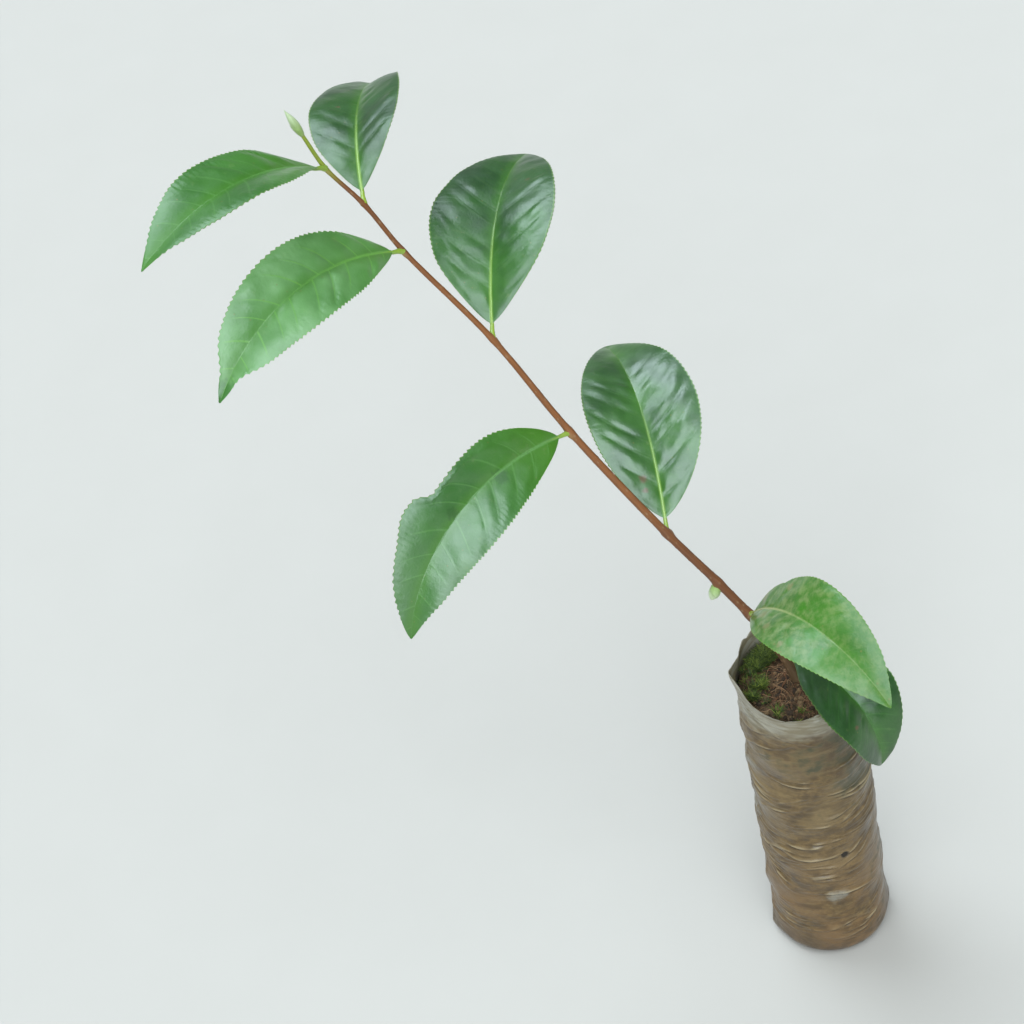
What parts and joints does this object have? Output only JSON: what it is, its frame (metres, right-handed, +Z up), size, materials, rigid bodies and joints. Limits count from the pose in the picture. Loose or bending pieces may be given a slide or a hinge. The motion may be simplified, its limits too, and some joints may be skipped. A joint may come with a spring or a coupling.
{
  "type": "tea seedling",
  "caption": "Young tea plant with one thin leaning stem and alternate glossy leaves, standing in a soil-filled film nursery sleeve.",
  "frame": {"origin": "centre of the sleeve's flat underside", "axes": "+Z up, the stem leans towards -X, and +Y points away from the side the picture was taken from"},
  "size_m": [0.2957, 0.2261, 0.5643],
  "materials": {
    "film": "satin",
    "soil": "matte",
    "moss": "matte",
    "bark": "satin",
    "leaf": "satin",
    "bud": "satin"
  },
  "bodies": {
    "root": {"sleeve": "film", "soil": "soil", "moss": "moss", "stem": "bark", "leaf-1": "leaf", "leaf-2": "leaf", "leaf-3": "leaf", "leaf-4": "leaf", "leaf-5": "leaf", "leaf-6": "leaf", "leaf-7": "leaf", "leaf-8": "leaf", "side-bud": "bud", "tip-bud": "bud"}
  },
  "joints": []
}
